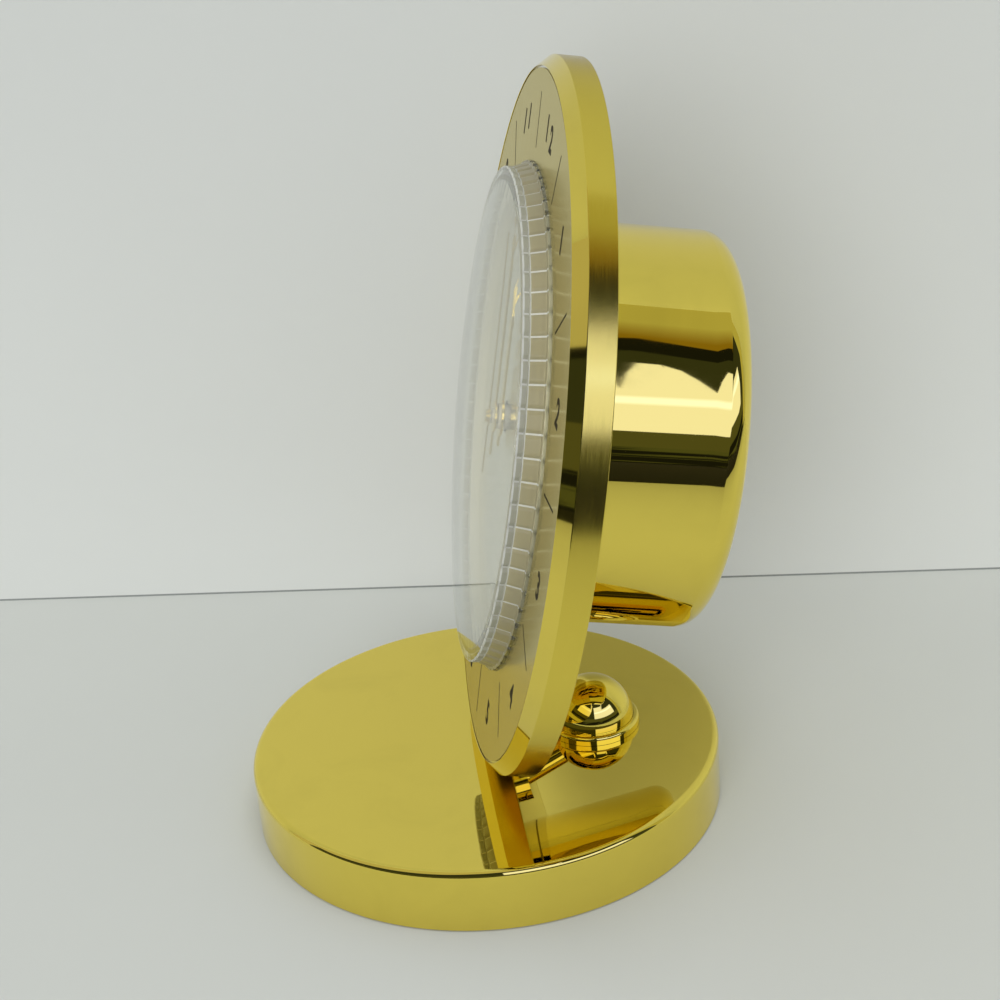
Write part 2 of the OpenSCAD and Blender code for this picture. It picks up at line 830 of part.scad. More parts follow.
// The drive wheel with its pinion, between the rotor and the seconds wheel
module drive_wheel() {
    turn = mesh_turn(pinion_teeth, rotor_dir + 180, drive_teeth, rotor_dir + 180);
    color("#e6e2d6") on_head() translate(drive_at) {
        gear(drive_teeth, m_drive, drive_z, drive_z + wheel_t, turn);
        gear(pinion_teeth, m_seconds, drive_z + wheel_t / 2, seconds_z + wheel_t + 0.1, drive_dir + 180);
        disc(arbor_r, case_back + 0.5, bridge_z + bridge_t);
    }
}

// The motor's rotor: a round magnet and a pinion on one arbor
module rotor() {
    color("#55585c") on_head() translate(rotor_at) {
        disc(magnet_r, magnet_z, drive_z - 0.4);
        gear(pinion_teeth, m_drive, drive_z - 0.4, drive_z + wheel_t + 0.2, rotor_dir + 180);
        disc(arbor_r, case_back + 0.5, bridge_z + bridge_t);
    }
}

base_shell();
base_weight();
base_pad();
swivel_collar();
pull_stud();
spring_washers();
stud_nut();
swivel_ball();
support_arm();
arm_screw();
back_plate();
bezel_ring();
dial_spacer();
dial_plate();
crystal_retainer();
retainer_rivets();
crystal();
number_ring();
cup_ring();
cup_ring_screws();
rear_cup();
movement_case();
movement_cover();
train_bridge();
shaft_washer();
shaft_nut();
circuit_board();
quartz_can();
motor_coil();
motor_stator();
battery();
contact_plus();
contact_minus();
hour_hand();
hour_wheel();
minute_hand();
cannon_pinion();
minute_wheel();
setting_knob();
second_hand();
seconds_wheel();
centre_wheel();
third_wheel();
drive_wheel();
rotor();
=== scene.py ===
import json
import math

import bmesh
import bpy
from mathutils import Matrix, Vector

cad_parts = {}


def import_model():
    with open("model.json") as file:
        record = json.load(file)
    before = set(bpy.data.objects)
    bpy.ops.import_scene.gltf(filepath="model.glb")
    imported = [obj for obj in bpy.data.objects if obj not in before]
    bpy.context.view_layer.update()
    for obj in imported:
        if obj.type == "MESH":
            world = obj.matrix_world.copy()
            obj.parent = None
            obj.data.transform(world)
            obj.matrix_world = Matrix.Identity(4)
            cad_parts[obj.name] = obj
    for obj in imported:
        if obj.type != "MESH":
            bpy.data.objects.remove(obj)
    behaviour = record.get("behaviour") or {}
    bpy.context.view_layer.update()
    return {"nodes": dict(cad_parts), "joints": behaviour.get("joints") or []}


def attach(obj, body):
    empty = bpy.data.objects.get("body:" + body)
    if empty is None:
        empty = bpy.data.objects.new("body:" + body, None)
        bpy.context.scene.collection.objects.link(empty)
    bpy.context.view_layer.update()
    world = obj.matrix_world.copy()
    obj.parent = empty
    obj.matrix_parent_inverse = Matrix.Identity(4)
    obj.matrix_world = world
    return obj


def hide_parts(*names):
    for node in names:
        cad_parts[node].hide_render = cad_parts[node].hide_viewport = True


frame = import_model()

MM = 0.001

# Sizes in millimetres, as in the part's source
BASE_R = 49.5
BASE_H = 13.5
BASE_EDGE_R = 1.4
SHELL_T = 1.5
BALL_Y = 23.3
BORE_R = 9.3
DISC_R = 70.0
FACE_R = 67.7
BAND_W = 5.0
RIM_FRONT = 7.4
DIAL_Z = 6.9
CRYSTAL_R = 50.0
CRYSTAL_WALL = 1.8
RIM_TOP = 12.2
RIM_R = 48.2
CLEAR_R = 46.6
FLANGE_R = 44.6
DOME_H = 3.2
FLUTES = 72
RING_TOP = 7.25
CUP_R = 39.5
CUP_D = 32.0
CUP_EDGE_R = 4.5
CUP_T = 0.85

joints = {joint["name"]: joint for joint in frame["joints"]}
head_at = Vector(joints["crystal_turn"]["pos_m"])
head_back = Vector(joints["crystal_turn"]["axis"])
lean = math.asin(-head_back.z)
HEAD = Matrix.Translation(head_at) @ Matrix.Rotation(math.pi / 2 - lean, 4, "X")


# Shader helpers

def add(tree, kind, inputs=None, **settings):
    """Adds a node, gives its settings and joins or fills its inputs."""
    node = tree.nodes.new(kind)
    for name, value in settings.items():
        setattr(node, name, value)
    for socket, value in (inputs or {}).items():
        if isinstance(value, bpy.types.NodeSocket):
            tree.links.new(value, node.inputs[socket])
        else:
            node.inputs[socket].default_value = value
    return node


def calc(tree, operation, *values, clamp=False):
    """One Math node; each value is a number or a socket."""
    node = add(tree, "ShaderNodeMath", dict(enumerate(values)), operation=operation, use_clamp=clamp)
    return node.outputs[0]


def spread(tree, value, low, high, out_low=0.0, out_high=1.0):
    """Maps a value from one range to another, held at the ends."""
    return add(tree, "ShaderNodeMapRange", {"Value": value, "From Min": low, "From Max": high,
                                            "To Min": out_low, "To Max": out_high}).outputs[0]


def mix_colour(tree, factor, first, second):
    """Mixes two colours; the numbers are the colour sockets of the Mix node."""
    return add(tree, "ShaderNodeMix", {0: factor, 6: first, 7: second}, data_type="RGBA").outputs[2]


def ramp(tree, value, stops):
    """A colour ramp through the stops (place, colour)."""
    node = add(tree, "ShaderNodeValToRGB", {0: value})
    elements = node.color_ramp.elements
    while len(elements) < len(stops):
        elements.new(0.5)
    for element, (place, colour) in zip(elements, stops):
        element.position = place
        element.color = colour
    return node.outputs[0]


def rgb(red, green, blue):
    """A colour as the shader sockets take it."""
    return (red, green, blue, 1.0)


def group(name, inputs, outputs):
    """A new shader node group; inputs are (name, kind, value) and outputs are (name, kind)."""
    tree = bpy.data.node_groups.new(name, "ShaderNodeTree")
    for label, kind, value in inputs:
        socket = tree.interface.new_socket(name=label, in_out="INPUT", socket_type=kind)
        if value is not None:
            socket.default_value = value
    for label, kind in outputs:
        tree.interface.new_socket(name=label, in_out="OUTPUT", socket_type=kind)
    return tree, tree.nodes.new("NodeGroupInput"), tree.nodes.new("NodeGroupOutput")


def use_group(tree, kind, vector, **settings):
    """Places a node group, with its vector joined and its other inputs set."""
    node = tree.nodes.new("ShaderNodeGroup")
    node.node_tree = kind
    tree.links.new(vector, node.inputs["Vector"])
    for name, value in settings.items():
        node.inputs[name.replace("_", " ")].default_value = value
    return node


def brushed_group():
    """Fine parallel lines: they vary across X and Z of the mapped vector and run along its Y."""
    tree, given, result = group(
        "Fine parallel grain",
        [("Vector", "NodeSocketVector", None), ("Lines per mm", "NodeSocketFloat", 6.0),
         ("Run", "NodeSocketFloat", 0.02)],
        [("Value", "NodeSocketFloat")])
    parts = add(tree, "ShaderNodeSeparateXYZ", {0: given.outputs["Vector"]})
    density = calc(tree, "MULTIPLY", given.outputs["Lines per mm"], 1000.0)
    run = calc(tree, "MULTIPLY", density, given.outputs["Run"])
    across = calc(tree, "MULTIPLY", parts.outputs[0], density)
    along = calc(tree, "MULTIPLY", parts.outputs[1], run)
    deep = calc(tree, "MULTIPLY", parts.outputs[2], density)
    point = add(tree, "ShaderNodeCombineXYZ", {0: across, 1: along, 2: deep}).outputs[0]
    fine = add(tree, "ShaderNodeTexNoise", {"Vector": point, "Scale": 1.0, "Detail": 2.0,
                                            "Roughness": 0.6})
    tree.links.new(fine.outputs["Fac"], result.inputs["Value"])
    return tree


def handling_group():
    """Faint finger marks and hairline scratches on a polished face."""
    tree, given, result = group(
        "Handling marks",
        [("Vector", "NodeSocketVector", None), ("Size in mm", "NodeSocketFloat", 18.0)],
        [("Marks", "NodeSocketFloat"), ("Hairlines", "NodeSocketFloat")])
    scale = calc(tree, "DIVIDE", 1000.0, given.outputs["Size in mm"])
    cloud = add(tree, "ShaderNodeTexNoise", {"Vector": given.outputs["Vector"], "Scale": scale,
                                             "Detail": 4.0, "Roughness": 0.62, "Distortion": 0.6})
    marks = spread(tree, cloud.outputs["Fac"], 0.52, 0.78)
    turned_once = add(tree, "ShaderNodeVectorRotate", {"Vector": given.outputs["Vector"],
                                                      "Axis": (0.3, 0.2, 1.0), "Angle": 0.7})
    stretched = add(tree, "ShaderNodeVectorMath", {0: turned_once.outputs[0],
                                                  1: (9.0, 0.5, 9.0)}, operation="MULTIPLY")
    lines = add(tree, "ShaderNodeTexNoise", {"Vector": stretched.outputs[0], "Scale": 260.0,
                                             "Detail": 1.0})
    hair = spread(tree, lines.outputs["Fac"], 0.70, 0.76)
    tree.links.new(marks, result.inputs["Marks"])
    tree.links.new(hair, result.inputs["Hairlines"])
    return tree


def moulded_group():
    """The even fine grain of moulded plastic."""
    tree, given, result = group(
        "Moulded grain",
        [("Vector", "NodeSocketVector", None), ("Grain in mm", "NodeSocketFloat", 0.35)],
        [("Height", "NodeSocketFloat"), ("Shade", "NodeSocketFloat")])
    scale = calc(tree, "DIVIDE", 1000.0, given.outputs["Grain in mm"])
    grain = add(tree, "ShaderNodeTexNoise", {"Vector": given.outputs["Vector"], "Scale": scale,
                                             "Detail": 2.0})
    wide = add(tree, "ShaderNodeTexNoise", {"Vector": given.outputs["Vector"], "Scale": 70.0,
                                            "Detail": 3.0})
    tree.links.new(grain.outputs["Fac"], result.inputs["Height"])
    tree.links.new(wide.outputs["Fac"], result.inputs["Shade"])
    return tree


BRUSHED = brushed_group()
HANDLING = handling_group()
MOULDED = moulded_group()


def new_material(name):
    """A material with its Principled shader and the object's own coordinates."""
    material = bpy.data.materials.new(name)
    material.use_nodes = True
    tree = material.node_tree
    shader = tree.nodes["Principled BSDF"]
    place = add(tree, "ShaderNodeTexCoord").outputs["Object"]
    return material, tree, shader, place


def placed(tree, place, matrix):
    """The coordinates seen from a frame of the object, such as the leaning head."""
    turned_back = matrix.inverted()
    return add(tree, "ShaderNodeMapping", {"Vector": place, "Location": turned_back.to_translation(),
                                           "Rotation": turned_back.to_euler()}).outputs[0]


def bump(tree, shader, height, distance):
    """Gives a material a relief; the distance is in millimetres."""
    node = add(tree, "ShaderNodeBump", {"Height": height, "Distance": distance * MM,
                                        "Strength": 1.0})
    tree.links.new(node.outputs[0], shader.inputs["Normal"])


def darker(colour, share):
    """A colour with a share of its light taken away."""
    return rgb(*(part * (1 - share) for part in colour))


def mixed_surface(tree, factor, first, second):
    """Joins two shaders to the material's output."""
    mixed = add(tree, "ShaderNodeMixShader", {0: factor, 1: first, 2: second})
    tree.links.new(mixed.outputs[0], tree.nodes["Material Output"].inputs["Surface"])


def polished_metal(name, colour, roughness, marks=0.05):
    """Mirror metal with faint finger marks that cloud it and hairlines that catch the light."""
    material, tree, shader, place = new_material(name)
    shader.inputs["Metallic"].default_value = 1.0
    handled = use_group(tree, HANDLING, place)
    clouded = calc(tree, "MULTIPLY_ADD", handled.outputs["Marks"], marks, roughness)
    rough = calc(tree, "MULTIPLY_ADD", handled.outputs["Hairlines"], 0.04, clouded)
    tint = mix_colour(tree, handled.outputs["Marks"], rgb(*colour), darker(colour, 0.06))
    tree.links.new(tint, shader.inputs["Base Color"])
    tree.links.new(rough, shader.inputs["Roughness"])
    return material


def grained_metal(name, colour, roughness, matrix, stretch, lines, run=0.02, contrast=0.12,
                  depth=0.004, edge=(1.0, 1.0, 1.0), metallic=1.0):
    """Satin metal whose fine lines run along one direction of the given frame."""
    material, tree, shader, place = new_material(name)
    shader.inputs["Metallic"].default_value = metallic
    shader.inputs["Specular Tint"].default_value = rgb(*edge)
    local = placed(tree, place, matrix)
    lined = add(tree, "ShaderNodeVectorMath", {0: local, 1: stretch}, operation="MULTIPLY").outputs[0]
    grain = use_group(tree, BRUSHED, lined, Lines_per_mm=lines, Run=run)
    value = grain.outputs["Value"]
    tint = mix_colour(tree, value, darker(colour, contrast), rgb(*colour))
    rough = spread(tree, value, 0.3, 0.7, roughness * 0.8, roughness * 1.2)
    tree.links.new(tint, shader.inputs["Base Color"])
    tree.links.new(rough, shader.inputs["Roughness"])
    bump(tree, shader, value, depth)
    return material


def plastic(name, colour, roughness, grain=0.35, depth=0.01, variation=0.15):
    """Moulded plastic with a fine grain and a slight change of shade."""
    material, tree, shader, place = new_material(name)
    mould = use_group(tree, MOULDED, place, Grain_in_mm=grain)
    tint = mix_colour(tree, mould.outputs["Shade"], darker(colour, variation), rgb(*colour))
    tree.links.new(tint, shader.inputs["Base Color"])
    rough = spread(tree, mould.outputs["Height"], 0.3, 0.7, roughness * 0.85, roughness * 1.1)
    tree.links.new(rough, shader.inputs["Roughness"])
    bump(tree, shader, mould.outputs["Height"], depth)
    return material


BRASS = (0.88, 0.71, 0.125)
polished_brass = polished_metal("Polished brass", BRASS, 0.02, marks=0.03)
polished_bevel = polished_metal("Polished brass bevel", (0.85, 0.68, 0.12), 0.04, marks=0.04)
satin_band = grained_metal("Satin brass band", (0.83, 0.66, 0.10), 0.18, HEAD, (0.02, 0.02, 1.0), 9.0,
                           run=1.0, contrast=0.08, depth=0.0012, edge=(0.72, 0.70, 0.70))
bright_brass = grained_metal("Bright brass strip", (0.86, 0.68, 0.22), 0.16, HEAD, (0.3, 1.0, 1.0), 6.0,
                             run=0.05, contrast=0.06, depth=0.001)
plain_brass = grained_metal("Turned brass", (0.80, 0.62, 0.22), 0.32, HEAD, (0.05, 0.05, 1.0), 5.0,
                            run=1.0)
number_metal = grained_metal("Champagne number ring", (0.57, 0.50, 0.24), 0.20, HEAD, (1.0, 1.0, 0.0),
                             5.0, run=0.006, contrast=0.15, depth=0.0004, edge=(0.88, 0.80, 0.45),
                             metallic=0.65)
silvered = grained_metal("Silvered dial", (0.88, 0.87, 0.84), 0.22, HEAD, (1.0, 1.0, 0.0), 6.0,
                         run=0.006, contrast=0.10, depth=0.0004)
weight_steel = grained_metal("Weight steel", (0.30, 0.29, 0.28), 0.55, Matrix.Identity(4),
                             (1.0, 1.0, 1.0), 1.2, run=0.8, contrast=0.5)
bright_steel = grained_metal("Bright steel", (0.62, 0.62, 0.62), 0.25, Matrix.Identity(4),
                             (1.0, 1.0, 0.2), 4.0, run=0.3)
magnet_grey = grained_metal("Ground magnet", (0.22, 0.22, 0.23), 0.4, HEAD, (1.0, 1.0, 1.0), 6.0)
cell_jacket = polished_metal("Plain cell jacket", (0.10, 0.13, 0.17), 0.22, marks=0.1)
coil_copper = grained_metal("Wound copper wire", (0.75, 0.32, 0.13), 0.3, HEAD, (1.0, 0.05, 0.05), 8.0,
                            run=1.0, contrast=0.5, depth=0.05)
black_plastic = plastic("Black moulded plastic", (0.018, 0.018, 0.019), 0.45)
black_rubber = plastic("Black rubber", (0.02, 0.02, 0.02), 0.7, grain=0.6)
white_plastic = plastic("Natural moulded plastic", (0.72, 0.69, 0.60), 0.4, grain=0.5,
                        depth=0.004, variation=0.06)
beige_plastic = plastic("Beige moulded plastic", (0.60, 0.56, 0.40), 0.4, grain=0.5, depth=0.004)
board_green = plastic("Lacquered board", (0.03, 0.13, 0.05), 0.3, grain=0.2)
print_brown = plastic("Printed ink", (0.030, 0.022, 0.008), 0.6, grain=0.12, depth=0.002)
print_brown.node_tree.nodes["Principled BSDF"].inputs["Specular IOR Level"].default_value = 0.08


def felt_material():
    """Dark green felt of short matted fibres."""
    material, tree, shader, place = new_material("Dark green felt")
    long_way = add(tree, "ShaderNodeVectorMath", {0: place, 1: (1.0, 3.0, 1.0)}, operation="MULTIPLY")
    fibres = add(tree, "ShaderNodeTexNoise", {"Vector": long_way.outputs[0], "Scale": 900.0,
                                              "Detail": 5.0, "Roughness": 0.7, "Distortion": 2.0})
    tint = ramp(tree, fibres.outputs["Fac"], [(0.3, rgb(0.006, 0.016, 0.009)),
                                              (0.7, rgb(0.022, 0.052, 0.030))])
    tree.links.new(tint, shader.inputs["Base Color"])
    shader.inputs["Roughness"].default_value = 0.95
    shader.inputs["Sheen Weight"].default_value = 0.4
    bump(tree, shader, fibres.outputs["Fac"], 0.25)
    return material


ACRYLIC_IOR = 1.49
# A ray that has bounced more often than this counts as caught inside the wall
DEEP_IN_ACRYLIC = 5.5


def acrylic_material(name, colour, roughness, transmission=1.0):
    """Clear acrylic: light passes it on the way to the dial, and a ray that has met many faces
    goes straight on out of its wall."""
    material, tree, shader, place = new_material(name)
    shader.inputs["Transmission Weight"].default_value = transmission
    shader.inputs["IOR"].default_value = ACRYLIC_IOR
    handled = use_group(tree, HANDLING, place)
    rough = calc(tree, "MULTIPLY_ADD", handled.outputs["Marks"], 0.03, roughness)
    tree.links.new(rough, shader.inputs["Roughness"])
    shader.inputs["Base Color"].default_value = rgb(*colour)
    passing = add(tree, "ShaderNodeBsdfTransparent", {"Color": rgb(0.96, 0.965, 0.93)})
    rays = add(tree, "ShaderNodeLightPath")
    caught = calc(tree, "GREATER_THAN", rays.outputs["Ray Depth"], DEEP_IN_ACRYLIC)
    passes = calc(tree, "MAXIMUM", rays.outputs["Is Shadow Ray"], caught)
    mixed_surface(tree, passes, shader.outputs[0], passing.outputs[0])
    return material


def matt_acrylic_material(name, colour, transmission):
    """Acrylic left matt by the mould; its pale colour is painted light for its bright lines and glow."""
    material, tree, shader, place = new_material(name)
    shader.inputs["Transmission Weight"].default_value = transmission
    shader.inputs["IOR"].default_value = ACRYLIC_IOR
    mould = use_group(tree, MOULDED, place, Grain_in_mm=0.2)
    tint = mix_colour(tree, mould.outputs["Shade"], darker(colour, 0.18), rgb(*colour))
    tree.links.new(tint, shader.inputs["Base Color"])
    rough = spread(tree, mould.outputs["Height"], 0.3, 0.7, 0.35, 0.55)
    tree.links.new(rough, shader.inputs["Roughness"])
    return material


felt = felt_material()
clear_acrylic = acrylic_material("Clear acrylic", (0.99, 0.99, 0.95), 0.005)
# Painted reflection: the flutes' gold-brown colour stands in for the brass seen in and through them
flute_acrylic_painted_reflection = acrylic_material("Acrylic of the fluted slope with painted reflection", (0.38, 0.34, 0.20), 0.30, 0.35)
# Painted highlight, partly real frosting: the grooves and band edges are painted pale for their bright
# lines
edge_acrylic_painted_highlight = matt_acrylic_material("Matt acrylic edge with painted highlight", (0.90, 0.91, 0.85), 0.45)
# Painted glow: the beads are painted grey for the light carried inside the rim
bead_acrylic_painted_glow = matt_acrylic_material("Matt acrylic beads with painted glow", (0.46, 0.46, 0.37), 0.25)


# Mesh helpers

def finished(name, bm, materials, body, replaces=(), place=None, sharp=32.0, even=True):
    """Moves a mesh made in millimetres to its place and hands it to the frame."""
    bm.transform((place or Matrix.Identity(4)) @ Matrix.Scale(MM, 4))
    bmesh.ops.recalc_face_normals(bm, faces=bm.faces)
    mesh = bpy.data.meshes.new(name)
    bm.to_mesh(mesh)
    bm.free()
    for material in materials:
        mesh.materials.append(material)
    mesh.shade_smooth()
    mesh.set_sharp_from_angle(angle=math.radians(sharp))
    piece = bpy.data.objects.new(name, mesh)
    bpy.context.scene.collection.objects.link(piece)
    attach(piece, body)
    if replaces:
        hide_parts(*replaces)
    if even:
        shading = piece.modifiers.new("Even shading", "WEIGHTED_NORMAL")
        shading.keep_sharp = True
    return piece


def profile(bm, corners, closed=True):
    """A chain of edges through (radius, height, rounding); rounding is cut off each side."""
    points = [bm.verts.new((radius, 0, height)) for radius, height, rounding in corners]
    pairs = list(zip(points, points[1:]))
    if closed:
        pairs.append((points[-1], points[0]))
    for first, second in pairs:
        bm.edges.new((first, second))
    for point, (radius, height, rounding) in zip(points, corners):
        if rounding:
            bmesh.ops.bevel(bm, geom=[point], offset=rounding, segments=6, profile=0.5,
                            affect="VERTICES", material=-1)


def turned(corners, steps=240, closed=True):
    """A solid turned about Z from its section."""
    bm = bmesh.new()
    profile(bm, corners, closed)
    bmesh.ops.spin(bm, geom=bm.verts[:] + bm.edges[:], cent=(0, 0, 0), axis=(0, 0, 1),
                   dvec=(0, 0, 0), angle=math.tau, steps=steps, use_merge=True,
                   use_duplicate=False)
    bmesh.ops.remove_doubles(bm, verts=bm.verts, dist=0.0005)
    return bm


# The base and its cap

def base_cap():
    """The turned cap of the base, open below, bored behind its middle for the ball joint."""
    inner = BASE_R - SHELL_T
    under = BASE_H - SHELL_T
    seam = BASE_R - 5.0
    bm = turned([(seam, BASE_H, 0), (BASE_R, BASE_H, BASE_EDGE_R), (BASE_R, 0.25, 0.2),
                 (inner, 0.25, 0.2), (inner, under, 0.6), (seam, under, 0)], 360, closed=False)
    bores = []
    for height in (BASE_H, under):
        open_edges = [edge for edge in bm.edges if edge.is_boundary
                      and all(abs(point.co.z - height) < 0.001 for point in edge.verts)]
        bore = bmesh.ops.create_circle(bm, segments=360, radius=BORE_R,
                                       matrix=Matrix.Translation((0, BALL_Y, height)))
        bore_edges = list({edge for point in bore["verts"] for edge in point.link_edges})
        bmesh.ops.bridge_loops(bm, edges=open_edges + bore_edges)
        bores += bore_edges
    bmesh.ops.bridge_loops(bm, edges=bores)
    return finished("base_cap", bm, [polished_brass], "base", ["base_shell"])


base_cap()


# Disc rim: a satin band and a polished bevel

def disc_rim():
    """The turned ring round the disc: a satin band, a polished bevel and small broken edges."""
    bm = turned([(FACE_R, 0, 0), (DISC_R, 0, 0.18), (DISC_R, BAND_W, 0.12),
                 (FACE_R + 0.05, RIM_FRONT, 0.08), (FACE_R, RIM_FRONT - 0.2, 0)], 360)
    for face in bm.faces:
        middle = face.calc_center_median()
        radius = math.hypot(middle.x, middle.y)
        if radius < DISC_R - 0.03 and middle.z > BAND_W:
            face.material_index = 1
    return finished("disc_rim", bm, [satin_band, polished_bevel], "head",
                    ["bezel_ring"], HEAD)


disc_rim()


# Rear cup, drawn from sheet

CUP_SWELL = 0.03


def rear_cup():
    """The cup; its wall swells a few hundredths of a millimetre just before the rounded corner."""
    inner = CUP_R - CUP_T
    wall = CUP_R - CUP_SWELL
    depth = -CUP_D
    corner = depth + CUP_EDGE_R
    bm = turned([(0, depth, 0), (CUP_R, depth, CUP_EDGE_R), (CUP_R, corner + 0.15, 0),
                 (CUP_R - 0.45 * CUP_SWELL, corner + 0.9, 0), (CUP_R - 0.9 * CUP_SWELL, corner + 1.9, 0),
                 (wall, corner + 2.9, 0), (wall, -0.05, 0.2), (inner, -0.05, 0.2),
                 (inner, depth + CUP_T, CUP_EDGE_R - CUP_T), (0, depth + CUP_T, 0)], 360,
                closed=False)
    return finished("drawn_cup", bm, [polished_brass], "rear_cup", ["rear_cup"],
                    HEAD)


rear_cup()


# Fluted crystal

FLUTE_STEPS = 12
FLUTE_DEPTH = 0.42
# How far the band and the neck below it lie under the top of the rim
BAND_TOP = 0.25
NECK_TOP = 1.15
NECK_FOOT = 1.5
# How far a groove reaches on each side of its middle, in parts of a flute
BEAD_GROOVE = 0.22
FLUTE_GROOVE = 0.15
# Which of the crystal's materials a face takes; the rest is clear
FLUTE_FACE = 1
EDGE_FACE = 2
BEAD_FACE = 3


def dome_height(radius):
    """How high the outside of the dome stands at a radius."""
    sphere = (RIM_R * RIM_R + DOME_H * DOME_H) / (2 * DOME_H)
    return RIM_TOP + DOME_H - sphere + math.sqrt(sphere * sphere - radius * radius)


def from_groove(point):
    """How far round a point is from the middle of its groove, in parts of a flute."""
    turn = (math.atan2(point.y, point.x) * FLUTES / math.tau) % 1.0
    return abs(turn - (0.5 + 0.5 / FLUTE_STEPS))


def crystal_section(foot):
    """The cover's section from the dome's middle down the rim, over the flange and back inside."""
    rings = 16
    outside = [(RIM_R * i / rings, dome_height(RIM_R * i / rings), 0) for i in range(rings + 1)]
    inside = [((CLEAR_R - 1) * i / rings, dome_height((CLEAR_R - 1) * i / rings) - CRYSTAL_WALL, 0)
              for i in range(rings, -1, -1)]
    rim = [
        (RIM_R + 0.3, RIM_TOP - BAND_TOP, 0.12), (RIM_R + 0.3, RIM_TOP - 1.2, 0.12),
        (RIM_R - 0.05, RIM_TOP - 1.35, 0.08), (RIM_R + 0.25, RIM_TOP - NECK_FOOT, 0.1),
        (CRYSTAL_R - 0.7, foot + 1.1, 0.1), (CRYSTAL_R - 0.15, foot + 1.05, 0.12),
        (CRYSTAL_R, foot, 0), (FLANGE_R, foot, 0), (FLANGE_R, foot + 1.0, 0.1),
        (CLEAR_R, foot + 1.0, 0.3), (CLEAR_R, dome_height(CLEAR_R) - CRYSTAL_WALL - 0.9, 0.3)]
    return outside + rim + inside


def cut_grooves(bm, lowest):
    """Presses the grooves into the rim: wide ones between beads, narrow ones between flutes."""
    for point in bm.verts:
        radius = math.hypot(point.co.x, point.co.y)
        height = point.co.z
        if radius < RIM_R - 0.4 or height < lowest:
            continue
        reach = BEAD_GROOVE if height > RIM_TOP - 1.4 else FLUTE_GROOVE
        share = 1.25 * (1.0 - from_groove(point.co) / reach)
        depth = FLUTE_DEPTH * min(1.0, max(0.0, share))
        if height > RIM_TOP - 0.1:
            depth *= 0.3
        point.co.x *= 1 - depth / radius
        point.co.y *= 1 - depth / radius


def choose_acrylics(bm, lowest):
    """Gives the rim's flutes, beads and matt edges their acrylic, each with painted light in its colour.
    """
    for face in bm.faces:
        middle = face.calc_center_median()
        radius = math.hypot(middle.x, middle.y)
        if radius < RIM_R - 0.45 or not lowest < middle.z < RIM_TOP:
            continue
        below_top = RIM_TOP - middle.z
        in_groove = from_groove(middle) < 0.3 / FLUTE_STEPS
        if in_groove or below_top < 0.3 or NECK_TOP < below_top < NECK_FOOT:
            face.material_index = EDGE_FACE
        elif below_top < NECK_TOP:
            face.material_index = BEAD_FACE
        else:
            face.material_index = FLUTE_FACE


def fluted_crystal():
    """The clear cover: dome, beaded band and fluted slope, turned and then cut round the rim."""
    foot = DIAL_Z + 0.05
    lowest = foot + 0.9
    bm = turned(crystal_section(foot), FLUTES * FLUTE_STEPS, closed=False)
    cut_grooves(bm, lowest)
    choose_acrylics(bm, lowest)
    materials = [clear_acrylic, flute_acrylic_painted_reflection, edge_acrylic_painted_highlight, bead_acrylic_painted_glow]
    return finished("fluted_crystal", bm, materials, "crystal", ["crystal"], HEAD,
                    sharp=25.0, even=False)


fluted_crystal()


# Printed hour numbers and lines on the number ring

TURN = math.radians(8.0)
NUMBER_R = 58.7
DIGIT_PITCH = 5.8
LINE_R = 57.8
LINE_SIZE = (0.42, 10.4, 0.02)
PRINT_Z = RING_TOP + 0.012


def digit(figure, angle):
    """One figure as a thin raised print, upright at its place on the ring."""
    curve = bpy.data.curves.new("figure_" + figure, "FONT")
    curve.body = figure
    curve.size = 6.7
    curve.offset = 0.22
    curve.extrude = 0.01
    curve.resolution_u = 6
    text = bpy.data.objects.new("text", curve)
    bpy.context.scene.collection.objects.link(text)
    bpy.context.view_layer.update()
    mesh = bpy.data.meshes.new_from_object(text.evaluated_get(bpy.context.evaluated_depsgraph_get()))
    bpy.data.objects.remove(text)
    low = Vector([min(point.co[i] for point in mesh.vertices) for i in range(3)])
    high = Vector([max(point.co[i] for point in mesh.vertices) for i in range(3)])
    at = Vector((NUMBER_R * math.sin(angle), NUMBER_R * math.cos(angle), PRINT_Z))
    mesh.transform(Matrix.Translation(at - (low + high) / 2))
    return mesh


def printed_marks():
    """The hour numbers, their figures set along the ring, and a line half way between them."""
    bm = bmesh.new()
    for hour in range(1, 13):
        middle = hour * math.pi / 6 + TURN
        figures = str(hour)
        for place, figure in enumerate(figures):
            along = (place - (len(figures) - 1) / 2) * DIGIT_PITCH / NUMBER_R
            mesh = digit(figure, middle + along)
            bm.from_mesh(mesh)
            bpy.data.meshes.remove(mesh)
        line = bmesh.ops.create_cube(bm, size=1.0)
        matrix = (Matrix.Rotation(-middle - math.pi / 12, 4, "Z")
                  @ Matrix.Translation((0, LINE_R, PRINT_Z))
                  @ Matrix.Diagonal((*LINE_SIZE, 1)))
        bmesh.ops.transform(bm, matrix=matrix, verts=line["verts"])
    return finished("hour_print", bm, [print_brown], "crystal", (), HEAD, even=False)


printed_marks()


# Materials for the pieces that stay as the source made them

